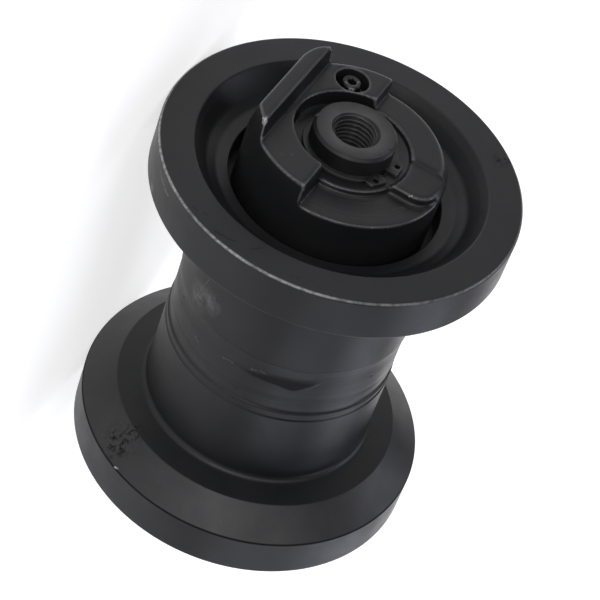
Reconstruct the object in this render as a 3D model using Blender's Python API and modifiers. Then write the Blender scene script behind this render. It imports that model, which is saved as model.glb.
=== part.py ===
"""Track roller: two forged shell halves welded together, turning on a fixed, sealed shaft.

The axle lies along Y with the origin at the middle of the roller. +Z is up as the roller sits under a
track frame. Each end is built once in its own end frame and placed twice: in the end frame +Z runs along
the axle away from the middle, +Y points up and +X to the right, seen from outside the end.
"""

import math

import bmesh
import bpy
from mathutils import Matrix, Vector

MM = 0.001                      # every size below is in millimetres; MM turns it into metres
GAP = 0.3                       # clearance between touching solids

# Shell: radii about the axle, and heights measured along the axle from the middle
FLANGE_RADIUS = 120.0
FLANGE_FACE = 135.0             # outer face of the flange
FLANGE_CORNER = 2.0
RIM_INNER_EDGE = 104.7          # where the flange's rim turns into its inner chamfer
CHAMFER_FOOT = (98.6, 88.6)
BAND_FOOT = (82.5, 85.6)
TREAD_RADIUS = 79.5
TREAD_TOP = 82.6
RELIEF_RADIUS = 78.2            # turned relief on both sides of the weld
RELIEF_EDGE = 23.8
RELIEF_SLOPE = 0.8
DISH_RADIUS = 97.0
DISH_FLOOR_RADIUS = 79.0
DISH_FLOOR = 117.4
DISH_WALL = [(86.5, 121.5), (92.5, 129.5)]      # from the dish's floor out to its edge
HOLE_RADIUS = 70.4
HOLE_MOUTH = 116.6
HOLE_FLOOR = 98.0
CHAMBER_RADIUS = 50.0           # oil chamber round the shaft's thrust shoulder

# Weld between the halves
WELD_ROOT_RADIUS = 70.5
WELD_ROOT_HALF = 2.0
WELD_ROOT_GAP = 0.2             # how far the bead's edges lie below the relief
WELD_CROWN = 0.6                # how far the bead stands above the relief
WELD_CROWN_HALF = 4.0

# Shaft
SHAFT_RADIUS = 27.5             # 55 mm seat for the collars
SHAFT_END = 165.4
SHAFT_CHAMFER = 1.8
JOURNAL_RADIUS = 30.0
JOURNAL_END = 90.0
SHOULDER_RADIUS = 42.0
SHOULDER_HALF = 23.7
THREAD_RADIUS = 13.25           # tapping hole of the M30 x 3.5 thread
THREAD_MOUTH_RADIUS = 16.0
THREAD_FLOOR = 115.0
DRILL_POINT = 107.4
CIRCLIP_GROOVE_RADIUS = 26.0

# Bushes
BUSH_RADIUS = 36.0
BUSH_END = 84.0
BUSH_FLANGE_RADIUS = 43.0
BUSH_FLANGE_THICKNESS = 4.0

# Floating seal: two equal rings that meet at SEAL_PLANE, each carried by a toric rubber ring
SEAL_PLANE = 98.75
SEAL_BORE = 38.0
SEAL_FLANGE_RADIUS = 49.5
SEAL_FLANGE_DEPTH = 4.0
SEAL_HUB_RADIUS = (43.2, 41.8)  # at the flange, at the far end
SEAL_DEPTH = 12.25
SEAL_HOUSING_RADIUS = 52.4
SEAL_HOUSING_DEPTH = 14.25
TORIC_RADIUS = 47.3
TORIC_SECTION = 4.6
TORIC_DEPTH = 9.05

# Collar
COLLAR_RADIUS = 65.5
COLLAR_INNER_FACE = 99.5
COLLAR_HUB_RADIUS = 34.0
COLLAR_CHAMFER = 1.0
RIDGE_CREST = 178.0
RIDGE_FOOT = -42.8              # height of the ridge's upper face at the seat
RIDGE_CREST_TOP = -44.6
RIDGE_CREST_BOTTOM = -54.8
RIDGE_FLANK_FOOT = (-65.5, 134.5)
SEAT = 162.6                    # flat seats beside the ridge
SEAT_EDGE = -4.0                # height at which the seats end
SEAT_WALL_DRAFT = 2.5
POCKET_RADIUS = 39.3            # round recess for the circlip
POCKET_FLOOR = 150.0
LAND = 154.5                    # raised land on the left of the tongue
LAND_EDGE_RADIUS = 60.0
RIM = 147.0
STEP = 146.0                    # lower step on the right of the tongue
STEP_RADIUS = 39.0
TONGUE_TOP = 152.5
TONGUE_HALF_WIDTH = 14.5
TONGUE_TIP = 63.3
TONGUE_CORNER = 13.0

# O-ring between collar and shaft
O_RING_HEIGHT = 128.0
O_RING_SECTION = 1.35
O_RING_GROOVE_RADIUS = 30.8
O_RING_GROOVE_HALF = 2.3

# Circlip
CIRCLIP_THICKNESS = 2.0
CIRCLIP_RADIUS = 31.0
CIRCLIP_LUG_RADIUS = 35.5
CIRCLIP_GAP_ANGLE = 76.0        # direction of its gap, in degrees from +X
CIRCLIP_GAP_HALF = 7.5
CIRCLIP_LUG_HALF = 28.0         # where the lugs end, either side of the gap's middle
CIRCLIP_HOLE_ANGLE = 20.0
CIRCLIP_HOLE_PITCH_RADIUS = 32.3
CIRCLIP_HOLE_RADIUS = 1.9

# Oil plug in the collar
PLUG_X = -45.2
PLUG_Y = -24.0
PLUG_WELL_RADIUS = 11.0
PLUG_WELL_FLOOR = 150.6
PLUG_HEAD_RADIUS = 6.5
PLUG_HEAD_HEIGHT = 8.0
PLUG_SHANK_RADIUS = 3.9
PLUG_SHANK_LENGTH = 14.0
PLUG_HOLE_FLOOR = 136.0
PLUG_SOCKET_ACROSS_FLATS = 6.0
PLUG_SOCKET_DEPTH = 4.5
WASHER_RADIUS = 7.5
WASHER_THICKNESS = 1.5
OIL_DUCT_RADIUS = 2.5
OIL_DUCT_END = (38.0, 111.0)    # where the duct enters the seal housing: radius, height

# Cutters
CUTTER_REACH = 70.0             # past the collar's outside
CUTTER_MARGIN = 3.0             # past a face that a cutter comes out of

# Facets
OUTER_STEPS = 48
INNER_STEPS = 32
SMALL_STEPS = 20

FRONT_TURN = (math.radians(90), 0, 0)                   # end frame's +Z onto -Y
REAR_TURN = (math.radians(90), 0, math.radians(180))    # end frame's +Z onto +Y
ENDS = {"front": FRONT_TURN, "rear": REAR_TURN}


# ---------------------------------------------------------------- scene

def clear_scene():
    for obj in list(bpy.data.objects):
        bpy.data.objects.remove(obj)


def new_collection(name):
    collection = bpy.data.collections.new(name)
    bpy.context.scene.collection.children.link(collection)
    return collection


def end_frame(name, turn):
    """An empty that carries the pieces of one end of the roller."""
    frame = bpy.data.objects.new(name + "_end_frame", None)
    frame.rotation_euler = turn
    parts.objects.link(frame)
    return frame


def material(name, colour, roughness, metallic):
    paint = bpy.data.materials.new(name)
    paint.use_nodes = True
    shader = paint.node_tree.nodes["Principled BSDF"]
    shader.inputs["Base Color"].default_value = (*colour, 1.0)
    shader.inputs["Roughness"].default_value = roughness
    shader.inputs["Metallic"].default_value = metallic
    return paint


def add_object(name, mesh, frame, collection=None):
    obj = bpy.data.objects.new(name, mesh)
    (collection or parts).objects.link(obj)
    obj.parent = frame
    return obj


# ---------------------------------------------------------------- shapes

def in_metres(points):
    return [tuple(value * MM for value in point) for point in points]


def arc(radius, start, stop, count, centre=(0.0, 0.0)):
    """Points on an arc from start to stop degrees, both ends included."""
    angles = [math.radians(start + (stop - start) * i / (count - 1)) for i in range(count)]
    return [(centre[0] + radius * math.cos(a), centre[1] + radius * math.sin(a)) for a in angles]


def on_line(low, high, height):
    """The point at a height on the straight line through two points (y, height)."""
    share = (height - low[1]) / (high[1] - low[1])
    return (low[0] + share * (high[0] - low[0]), height)


def turned(name, profile, steps, frame=None, closed=True, angle=360.0, collection=None):
    """A solid of revolution about +Z. The profile (radius, height) runs down its outer side."""
    mesh = bpy.data.meshes.new(name)
    vertices = [(radius, 0.0, height) for radius, height in in_metres(profile)]
    edges = [(i, i + 1) for i in range(len(vertices) - 1)]
    if closed:
        edges.append((len(vertices) - 1, 0))
    mesh.from_pydata(vertices, edges, [])
    obj = add_object(name, mesh, frame, collection)
    screw = obj.modifiers.new("turn", 'SCREW')
    screw.axis = 'Z'
    screw.angle = math.radians(angle)
    screw.steps = steps
    screw.render_steps = steps
    screw.use_merge_vertices = True
    screw.merge_threshold = 0.00001
    return obj


def as_mesh(obj, frame):
    """Replaces an object by its finished mesh, with welded and filled ends."""
    bpy.context.view_layer.update()
    graph = bpy.context.evaluated_depsgraph_get()
    mesh = bpy.data.meshes.new_from_object(obj.evaluated_get(graph))
    form = bmesh.new()
    form.from_mesh(mesh)
    bmesh.ops.remove_doubles(form, verts=form.verts, dist=0.00001)
    bmesh.ops.holes_fill(form, edges=form.edges)
    bmesh.ops.recalc_face_normals(form, faces=form.faces)
    form.to_mesh(mesh)
    form.free()
    name, place, collection = obj.name, obj.matrix_world.copy(), obj.users_collection[0]
    bpy.data.objects.remove(obj)
    solid = add_object(name, mesh, None, collection)
    solid.matrix_world = place
    solid.parent = frame
    return solid


def extruded(name, outline, low, high, frame=None, collection=None):
    """A flat outline (x, y), extruded from one height to another."""
    curve = bpy.data.curves.new(name, 'CURVE')
    curve.dimensions = '2D'
    curve.fill_mode = 'BOTH'
    curve.extrude = (high - low) / 2 * MM
    spline = curve.splines.new('POLY')
    spline.points.add(len(outline) - 1)
    for point, (x, y) in zip(spline.points, in_metres(outline)):
        point.co = (x, y, 0, 1)
    spline.use_cyclic_u = True
    obj = add_object(name, curve, None, collection)
    obj.location.z = (high + low) / 2 * MM
    return as_mesh(obj, frame)


def rod(name, radius, start, stop, steps, frame=None, collection=None):
    """A straight cylinder between two points."""
    start, stop = Vector(in_metres([start])[0]), Vector(in_metres([stop])[0])
    along = stop - start
    mesh = bpy.data.meshes.new(name)
    form = bmesh.new()
    bmesh.ops.create_cone(
        form, cap_ends=True, segments=steps, radius1=radius * MM, radius2=radius * MM, depth=along.length)
    form.to_mesh(mesh)
    form.free()
    obj = add_object(name, mesh, frame, collection)
    turn = along.to_track_quat('Z', 'Y').to_matrix().to_4x4()
    obj.matrix_basis = Matrix.Translation((start + stop) / 2) @ turn
    return obj


def cut(piece, cutter):
    cutter.hide_render = True
    cutter.display_type = 'WIRE'
    boolean = piece.modifiers.new(cutter.name, 'BOOLEAN')
    boolean.operation = 'DIFFERENCE'
    boolean.solver = 'EXACT'
    boolean.object = cutter


def cutter_prism(name, section, frame):
    """A cutter with a constant section (y, height), running across the whole collar along X."""
    prism = extruded(name, section, -CUTTER_REACH, CUTTER_REACH, frame, cutters)
    prism.rotation_euler = (math.radians(90), 0, math.radians(90))
    return prism


# ---------------------------------------------------------------- roller body

def shell_half(name, frame):
    bore = BUSH_RADIUS + GAP
    step = SHOULDER_HALF + 2 * GAP + BUSH_FLANGE_THICKNESS
    housing_floor = SEAL_PLANE - SEAL_HOUSING_DEPTH
    weld_edge = RELIEF_RADIUS - WELD_ROOT_RADIUS + WELD_ROOT_HALF
    outside = [
        (DISH_RADIUS, FLANGE_FACE),
        (FLANGE_RADIUS - FLANGE_CORNER, FLANGE_FACE),
        (FLANGE_RADIUS, FLANGE_FACE - FLANGE_CORNER),
        (FLANGE_RADIUS, RIM_INNER_EDGE),
        CHAMFER_FOOT,
        BAND_FOOT,
        (TREAD_RADIUS, TREAD_TOP),
        (TREAD_RADIUS, RELIEF_EDGE + RELIEF_SLOPE),
        (RELIEF_RADIUS, RELIEF_EDGE),
        (RELIEF_RADIUS, weld_edge),
        (WELD_ROOT_RADIUS, WELD_ROOT_HALF),
        (WELD_ROOT_RADIUS, GAP / 2),
    ]
    inside = [
        (CHAMBER_RADIUS, GAP / 2),
        (CHAMBER_RADIUS, step),
        (bore, step),
        (bore, housing_floor),
        (SEAL_HOUSING_RADIUS, housing_floor),
        (SEAL_HOUSING_RADIUS, HOLE_FLOOR),
        (HOLE_RADIUS, HOLE_FLOOR),
        (HOLE_RADIUS, HOLE_MOUTH),
        (DISH_FLOOR_RADIUS, DISH_FLOOR),
        *DISH_WALL,
    ]
    return turned(name, outside + inside, OUTER_STEPS, frame)


def weld_bead(name, frame):
    root = WELD_ROOT_RADIUS + GAP
    root_half = WELD_ROOT_HALF - GAP / 2
    edge = RELIEF_RADIUS - WELD_ROOT_GAP
    edge_half = edge - root + root_half
    crown = RELIEF_RADIUS + WELD_CROWN
    profile = [
        (edge, edge_half),
        (crown, WELD_CROWN_HALF),
        (crown, -WELD_CROWN_HALF),
        (edge, -edge_half),
        (root, -root_half),
        (root, root_half),
    ]
    return turned(name, profile, OUTER_STEPS, frame)


def bush(name, frame):
    bore = JOURNAL_RADIUS + GAP
    inner_face = SHOULDER_HALF + GAP
    flange_top = inner_face + BUSH_FLANGE_THICKNESS
    profile = [
        (bore, BUSH_END),
        (BUSH_RADIUS, BUSH_END),
        (BUSH_RADIUS, flange_top),
        (BUSH_FLANGE_RADIUS, flange_top),
        (BUSH_FLANGE_RADIUS, inner_face),
        (bore, inner_face),
    ]
    return turned(name, profile, INNER_STEPS, frame)


# ---------------------------------------------------------------- shaft

def shaft(name, frame):
    mouth_depth = THREAD_MOUTH_RADIUS - THREAD_RADIUS
    groove_low = POCKET_FLOOR
    groove_high = POCKET_FLOOR + CIRCLIP_THICKNESS + 2 * GAP
    upper_half = [
        (0.0, DRILL_POINT),
        (THREAD_RADIUS, THREAD_FLOOR),
        (THREAD_RADIUS, SHAFT_END - mouth_depth),
        (THREAD_MOUTH_RADIUS, SHAFT_END),
        (SHAFT_RADIUS - SHAFT_CHAMFER, SHAFT_END),
        (SHAFT_RADIUS, SHAFT_END - SHAFT_CHAMFER),
        (SHAFT_RADIUS, groove_high),
        (CIRCLIP_GROOVE_RADIUS, groove_high),
        (CIRCLIP_GROOVE_RADIUS, groove_low),
        (SHAFT_RADIUS, groove_low),
        (SHAFT_RADIUS, JOURNAL_END),
        (JOURNAL_RADIUS, JOURNAL_END),
        (JOURNAL_RADIUS, SHOULDER_HALF),
        (SHOULDER_RADIUS, SHOULDER_HALF),
    ]
    lower_half = [(radius, -height) for radius, height in reversed(upper_half)]
    return turned(name, upper_half + lower_half, INNER_STEPS, frame, closed=False)


def circlip(name, frame):
    gap = CIRCLIP_GAP_ANGLE
    first, last = gap + CIRCLIP_GAP_HALF, gap + 360 - CIRCLIP_GAP_HALF
    lug_end, lug_start = gap + CIRCLIP_LUG_HALF, gap + 360 - CIRCLIP_LUG_HALF
    outline = [
        *arc(CIRCLIP_LUG_RADIUS, first, lug_end, 5),
        *arc(CIRCLIP_RADIUS, lug_end + 4, lug_start - 4, 25),
        *arc(CIRCLIP_LUG_RADIUS, lug_start, last, 5),
        *arc(CIRCLIP_GROOVE_RADIUS + GAP, last, first, 33),
    ]
    low = POCKET_FLOOR + GAP
    high = low + CIRCLIP_THICKNESS
    clip = extruded(name, outline, low, high, frame)
    for side in (-1, 1):
        (x, y), = arc(CIRCLIP_HOLE_PITCH_RADIUS, gap + side * CIRCLIP_HOLE_ANGLE, gap, 2)[:1]
        hole = rod(f"{name}_hole_{side + 2}", CIRCLIP_HOLE_RADIUS, (x, y, low - 1), (x, y, high + 1), 10,
                   frame, cutters)
        cut(clip, hole)
    return clip


# ---------------------------------------------------------------- seals

def seal_ring(name, frame, side):
    """A floating seal ring. side is 1 for the fixed ring, beyond the seal plane, and -1 for the other."""
    flange = SEAL_FLANGE_DEPTH
    profile = [
        (SEAL_BORE, 0.0),
        (SEAL_FLANGE_RADIUS, 0.0),
        (SEAL_FLANGE_RADIUS, flange),
        (SEAL_HUB_RADIUS[0], flange),
        (SEAL_HUB_RADIUS[1], SEAL_DEPTH),
        (SEAL_BORE, SEAL_DEPTH),
    ]
    placed = [(radius, SEAL_PLANE + side * (GAP / 2 + depth)) for radius, depth in profile]
    if side > 0:
        placed.reverse()
    return turned(name, placed, INNER_STEPS, frame)


def rubber_ring(name, radius, section, height, frame, sides=6):
    bpy.ops.mesh.primitive_torus_add(
        major_radius=radius * MM, minor_radius=section * MM, major_segments=INNER_STEPS, minor_segments=sides)
    ring = bpy.context.object
    ring.name = name
    for collection in list(ring.users_collection):
        collection.objects.unlink(ring)
    parts.objects.link(ring)
    ring.parent = frame
    ring.location.z = height * MM
    return ring


# ---------------------------------------------------------------- collar and oil plug

def collar_blank(name, frame):
    bore = SHAFT_RADIUS + GAP
    housing = SEAL_PLANE + SEAL_HOUSING_DEPTH
    groove_low, groove_high = O_RING_HEIGHT - O_RING_GROOVE_HALF, O_RING_HEIGHT + O_RING_GROOVE_HALF
    profile = [
        (bore, POCKET_FLOOR),
        (POCKET_RADIUS, POCKET_FLOOR),
        (POCKET_RADIUS, RIDGE_CREST),
        (COLLAR_RADIUS, RIDGE_CREST),
        (COLLAR_RADIUS, COLLAR_INNER_FACE + COLLAR_CHAMFER),
        (COLLAR_RADIUS - COLLAR_CHAMFER, COLLAR_INNER_FACE),
        (SEAL_HOUSING_RADIUS, COLLAR_INNER_FACE),
        (SEAL_HOUSING_RADIUS, housing),
        (COLLAR_HUB_RADIUS, housing),
        (COLLAR_HUB_RADIUS, JOURNAL_END + GAP),
        (bore, JOURNAL_END + GAP),
        (bore, groove_low),
        (O_RING_GROOVE_RADIUS, groove_low),
        (O_RING_GROOVE_RADIUS, groove_high),
        (bore, groove_high),
    ]
    return turned(name, profile, OUTER_STEPS, frame)


def cut_ridge(blank, frame):
    """Leaves the ridge standing along the bottom, with a flat seat above it."""
    top = RIDGE_CREST + CUTTER_MARGIN
    face_low, face_high = (RIDGE_FOOT, SEAT), (RIDGE_CREST_TOP, RIDGE_CREST)
    seat = [face_low, (CUTTER_REACH, SEAT), (CUTTER_REACH, top), on_line(face_low, face_high, top)]
    cut(blank, cutter_prism(blank.name + "_seat_cutter", seat, frame))
    crest = (RIDGE_CREST_BOTTOM, RIDGE_CREST)
    foot_height = RIDGE_FLANK_FOOT[1] - CUTTER_MARGIN
    flank = [
        on_line(RIDGE_FLANK_FOOT, crest, top),
        (-CUTTER_REACH, top),
        (-CUTTER_REACH, foot_height),
        on_line(RIDGE_FLANK_FOOT, crest, foot_height),
    ]
    cut(blank, cutter_prism(blank.name + "_flank_cutter", flank, frame))


def cut_land(blank, frame):
    """Lowers everything above the seats to the land, with a drafted wall."""
    top = SEAT + CUTTER_MARGIN
    wall_low, wall_high = (SEAT_EDGE + SEAT_WALL_DRAFT, LAND), (SEAT_EDGE, SEAT)
    section = [wall_low, (CUTTER_REACH, LAND), (CUTTER_REACH, top), on_line(wall_low, wall_high, top)]
    cut(blank, cutter_prism(blank.name + "_land_cutter", section, frame))


def cut_rim(blank, frame):
    """Slopes the land's outer edge down to the rim."""
    inner, outer = (LAND, LAND_EDGE_RADIUS), (RIM, COLLAR_RADIUS)
    top, bottom = LAND + CUTTER_MARGIN, RIM - CUTTER_MARGIN
    slope = (outer[1] - inner[1]) / (outer[0] - inner[0])
    inner_radius = inner[1] + slope * (top - inner[0])
    outer_radius = inner[1] + slope * (bottom - inner[0])
    profile = [(inner_radius, top), (outer_radius, top), (outer_radius, bottom)]
    rim = turned(blank.name + "_rim_cutter", profile, OUTER_STEPS // 2, angle=180.0, collection=cutters)
    cut(blank, as_mesh(rim, frame))


def cut_step(blank, frame):
    """Lowers the quarter on the right of the tongue, round the ring that borders the circlip recess."""
    low_side = SEAT_EDGE + SEAT_WALL_DRAFT / 2
    start = math.degrees(math.asin(low_side / STEP_RADIUS))
    root = math.degrees(math.acos(TONGUE_HALF_WIDTH / STEP_RADIUS))
    corner_x, corner_y = TONGUE_HALF_WIDTH - TONGUE_CORNER, TONGUE_TIP - TONGUE_CORNER
    outline = [
        (CUTTER_REACH, low_side),
        *arc(CUTTER_REACH, 15, 90, 6),
        *arc(TONGUE_CORNER, 90, 0, 7, (corner_x, corner_y)),
        *arc(STEP_RADIUS, root, start, 12),
    ]
    cut(blank, extruded(blank.name + "_step_cutter", outline, STEP, SEAT, frame, cutters))


def cut_tongue(blank, frame):
    """Lowers the tongue's flat top, from the recess to the rim."""
    inner = math.sqrt(POCKET_RADIUS ** 2 - TONGUE_HALF_WIDTH ** 2) - 1
    half, outer = TONGUE_HALF_WIDTH, CUTTER_REACH
    outline = [(-half, inner), (half, inner), (half, outer), (-half, outer)]
    cut(blank, extruded(blank.name + "_tongue_cutter", outline, TONGUE_TOP, SEAT, frame, cutters))


def cut_oil_way(blank, frame):
    """The plug's well and tapped hole, and the slanted duct from there to the seal housing."""
    high = SEAT + CUTTER_MARGIN
    place = (PLUG_X, PLUG_Y)
    well = rod(blank.name + "_plug_well", PLUG_WELL_RADIUS, (*place, PLUG_WELL_FLOOR), (*place, high),
               SMALL_STEPS, frame, cutters)
    hole = rod(blank.name + "_plug_hole", PLUG_SHANK_RADIUS + GAP, (*place, PLUG_HOLE_FLOOR),
               (*place, PLUG_WELL_FLOOR + 1), SMALL_STEPS, frame, cutters)
    share = OIL_DUCT_END[0] / math.hypot(*place)
    duct_end = (PLUG_X * share, PLUG_Y * share, OIL_DUCT_END[1])
    duct = rod(blank.name + "_oil_duct", OIL_DUCT_RADIUS, (*place, PLUG_HOLE_FLOOR + 1), duct_end,
               12, frame, cutters)
    for cutter in (well, hole, duct):
        cut(blank, cutter)


def collar(name, frame):
    blank = collar_blank(name, frame)
    cut_ridge(blank, frame)
    cut_land(blank, frame)
    cut_rim(blank, frame)
    cut_step(blank, frame)
    cut_tongue(blank, frame)
    cut_oil_way(blank, frame)
    return blank


def plug_washer(name, frame):
    low = PLUG_WELL_FLOOR + GAP
    high = low + WASHER_THICKNESS
    bore = PLUG_SHANK_RADIUS + GAP
    profile = [(bore, high), (WASHER_RADIUS, high), (WASHER_RADIUS, low), (bore, low)]
    washer = turned(name, profile, SMALL_STEPS, frame)
    washer.location = (PLUG_X * MM, PLUG_Y * MM, 0)
    return washer


def oil_plug(name, frame):
    seat = PLUG_WELL_FLOOR + 2 * GAP + WASHER_THICKNESS
    top = seat + PLUG_HEAD_HEIGHT
    bevel = 0.6
    profile = [
        (0.0, top),
        (PLUG_HEAD_RADIUS - bevel, top),
        (PLUG_HEAD_RADIUS, top - bevel),
        (PLUG_HEAD_RADIUS, seat),
        (PLUG_SHANK_RADIUS, seat),
        (PLUG_SHANK_RADIUS, seat - PLUG_SHANK_LENGTH),
        (0.0, seat - PLUG_SHANK_LENGTH),
    ]
    plug = turned(name, profile, SMALL_STEPS, frame, closed=False)
    plug.location = (PLUG_X * MM, PLUG_Y * MM, 0)
    hexagon_radius = PLUG_SOCKET_ACROSS_FLATS / math.sqrt(3)
    place = (PLUG_X, PLUG_Y)
    socket = rod(name + "_socket_cutter", hexagon_radius, (*place, top - PLUG_SOCKET_DEPTH),
                 (*place, top + 1), 6, frame, cutters)
    cut(plug, socket)
    return plug


# ---------------------------------------------------------------- assembly

def finish(piece, paint):
    piece.data.materials.clear()
    piece.data.materials.append(paint)


def build_end(end, frame):
    finish(shell_half("shell_half_" + end, frame), shell_paint)
    finish(bush("bush_" + end, frame), bush_bronze)
    finish(seal_ring("rotating_seal_ring_" + end, frame, -1), seal_iron)
    finish(seal_ring("fixed_seal_ring_" + end, frame, 1), seal_iron)
    for kind, side in (("rotating", -1), ("fixed", 1)):
        height = SEAL_PLANE + side * TORIC_DEPTH
        toric = rubber_ring(f"{kind}_toric_{end}", TORIC_RADIUS, TORIC_SECTION, height, frame)
        finish(toric, seal_rubber)
    finish(collar("collar_" + end, frame), collar_paint)
    o_ring_radius = SHAFT_RADIUS + GAP + O_RING_SECTION
    o_ring = rubber_ring("shaft_o_ring_" + end, o_ring_radius, O_RING_SECTION, O_RING_HEIGHT, frame)
    finish(o_ring, seal_rubber)
    finish(circlip("circlip_" + end, frame), spring_steel)
    finish(oil_plug("oil_plug_" + end, frame), plug_steel)
    finish(plug_washer("plug_washer_" + end, frame), washer_metal)


clear_scene()
parts = new_collection("track_roller")
cutters = new_collection("cutters")

shell_paint = material("shell_paint", (0.030, 0.031, 0.033), 0.45, 0.0)
weld_paint = material("weld_paint", (0.026, 0.026, 0.028), 0.55, 0.0)
collar_paint = material("collar_paint", (0.028, 0.028, 0.030), 0.42, 0.0)
shaft_paint = material("shaft_paint", (0.034, 0.034, 0.036), 0.45, 0.0)
spring_steel = material("spring_steel", (0.020, 0.020, 0.021), 0.40, 0.6)
plug_steel = material("plug_steel", (0.30, 0.30, 0.31), 0.30, 1.0)
washer_metal = material("washer_metal", (0.45, 0.27, 0.16), 0.40, 1.0)
bush_bronze = material("bush_bronze", (0.50, 0.33, 0.14), 0.35, 1.0)
seal_iron = material("seal_iron", (0.42, 0.42, 0.43), 0.25, 1.0)
seal_rubber = material("seal_rubber", (0.015, 0.015, 0.015), 0.60, 0.0)

for end_name, end_turn in ENDS.items():
    build_end(end_name, end_frame(end_name, end_turn))
axle_frame = end_frame("axle", FRONT_TURN)
finish(shaft("shaft", axle_frame), shaft_paint)
finish(weld_bead("weld_bead", axle_frame), weld_paint)
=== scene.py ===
import math

import bmesh
import bpy
import numpy as np
from mathutils import Matrix, Vector


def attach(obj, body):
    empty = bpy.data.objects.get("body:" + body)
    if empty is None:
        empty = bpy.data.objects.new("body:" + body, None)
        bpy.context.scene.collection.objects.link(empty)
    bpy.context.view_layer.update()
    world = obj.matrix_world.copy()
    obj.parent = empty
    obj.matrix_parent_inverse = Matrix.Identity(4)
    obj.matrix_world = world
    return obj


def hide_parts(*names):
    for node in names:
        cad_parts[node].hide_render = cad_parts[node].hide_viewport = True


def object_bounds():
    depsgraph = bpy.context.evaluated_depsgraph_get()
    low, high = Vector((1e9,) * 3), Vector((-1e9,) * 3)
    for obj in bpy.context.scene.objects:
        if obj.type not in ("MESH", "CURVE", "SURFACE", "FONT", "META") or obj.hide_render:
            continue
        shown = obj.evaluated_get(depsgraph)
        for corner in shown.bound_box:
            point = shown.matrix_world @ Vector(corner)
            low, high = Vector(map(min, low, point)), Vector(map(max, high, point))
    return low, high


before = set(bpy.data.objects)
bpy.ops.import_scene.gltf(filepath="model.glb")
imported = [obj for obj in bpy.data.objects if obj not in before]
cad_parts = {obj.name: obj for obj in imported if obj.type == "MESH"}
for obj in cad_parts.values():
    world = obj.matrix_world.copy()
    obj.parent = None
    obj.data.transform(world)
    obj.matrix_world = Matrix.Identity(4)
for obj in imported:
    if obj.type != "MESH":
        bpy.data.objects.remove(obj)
CAD_BOX = [list(corner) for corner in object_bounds()]

# Track roller, painted satin black. Sizes are in millimetres, in the end frame of each end: x to the right
# and y up as seen from outside the end, and the height along the axle away from the middle of the roller.
MM = 0.001
GAP = 0.3
FINE_STEPS = 512                # facets round the shells and the weld
ROUND_STEPS = 192               # facets round the smaller turned pieces
BLANK_STEPS = 256               # facets round the collar's blank, before it is remeshed

TREAD_RADIUS = 79.5
FLANGE_RADIUS = 120.0
FLANGE_FACE = 135.0
RIM_INNER_EDGE = 104.7
CHAMFER_FOOT = (98.6, 88.6)
TREAD_ROOT = 85.0               # height at which the flange's flat band would meet the tread
HOLE_RADIUS = 70.4
HOLE_MOUTH = 116.6
HOLE_FLOOR = 98.0
SEAM = 9.75                     # where the shell's surface gives way to the weld bead
ZONE_END = 24.9                 # half length of the dressed zone round the weld
ZONE_ROW = 0.42                 # spacing of the rows of facets along the dressed zone

SHAFT_RADIUS = 27.5
SHAFT_END = 165.4
THREAD_MINOR = 13.1
THREAD_MAJOR = 15.0
THREAD_PITCH = 3.5
THREAD_MOUTH = 16.0
THREAD_STOP = 122.0             # height at which the thread runs out
DRILL_FLOOR, DRILL_POINT = 115.0, 107.4

SEAL_PLANE = 98.75              # height at which the two seal rings of an end meet
TORIC_RADIUS, TORIC_SECTION = 47.3, 4.6
TORIC_OFFSET = 9.05             # from the seal plane to the middle of a toric ring
O_RING_RADIUS, O_RING_SECTION, O_RING_HEIGHT = 29.15, 1.35, 128.0

COLLAR_RADIUS = 65.5
COLLAR_BASE = 99.5
RIDGE_CREST = 178.0
SEAT = 162.6
SEAT_EDGE = -4.0
LAND = 154.5
POCKET_RADIUS = 39.3
POCKET_FLOOR = 150.0
RIM = 147.0
STEP = 146.0
TONGUE_TOP = 152.5
PLUG_PLACE = (-45.2, -24.0)
PLUG_WELL_FLOOR = 150.6
PLUG_WASHER = 1.5
COLLAR_VOXEL = 0.96
COLLAR_ROUNDS = 6


# ---------------------------------------------------------------- placing

def end_to_world(points, end):
    """Points (x, y, height) of an end frame, in millimetres, as world points in metres."""
    points = np.asarray(points, float) * MM
    x, y, h = points[..., 0], points[..., 1], points[..., 2]
    return np.stack((-x, h, y) if end == "rear" else (x, -h, y), axis=-1)


def end_matrix(end):
    """The turn from an end frame to the world."""
    columns = end_to_world(np.eye(3) / MM, end)
    return Matrix(columns.T.tolist()).to_4x4()


def in_end_frame(obj):
    """Turns a mesh made for the front back into the end frame, in metres."""
    obj.data.transform(end_matrix("front").inverted())
    return obj


def add_object(name, data):
    obj = bpy.data.objects.new(name, data)
    bpy.context.scene.collection.objects.link(obj)
    return obj


def add_mesh(name, points, faces, end="front"):
    mesh = bpy.data.meshes.new(name)
    mesh.from_pydata(end_to_world(points, end).tolist(), [], faces)
    return add_object(name, mesh)


def evaluated_mesh(obj):
    """The object's mesh with its modifiers applied."""
    bpy.context.view_layer.update()
    graph = bpy.context.evaluated_depsgraph_get()
    return bpy.data.meshes.new_from_object(obj.evaluated_get(graph))


def smooth(obj, sharp_angle=50, weighted=True):
    obj.data.shade_smooth()
    obj.data.set_sharp_from_angle(angle=math.radians(sharp_angle))
    if weighted:
        normals = obj.modifiers.new("normals", 'WEIGHTED_NORMAL')
        normals.keep_sharp = True
    return obj


def finish_piece(obj, replaced, body, paint):
    """Paints a piece, and says which body it rides on, which CAD node it replaces."""
    obj.data.materials.clear()
    obj.data.materials.append(paint)
    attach(obj, body)
    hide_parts(replaced)
    return obj


# ---------------------------------------------------------------- turned shapes

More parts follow.
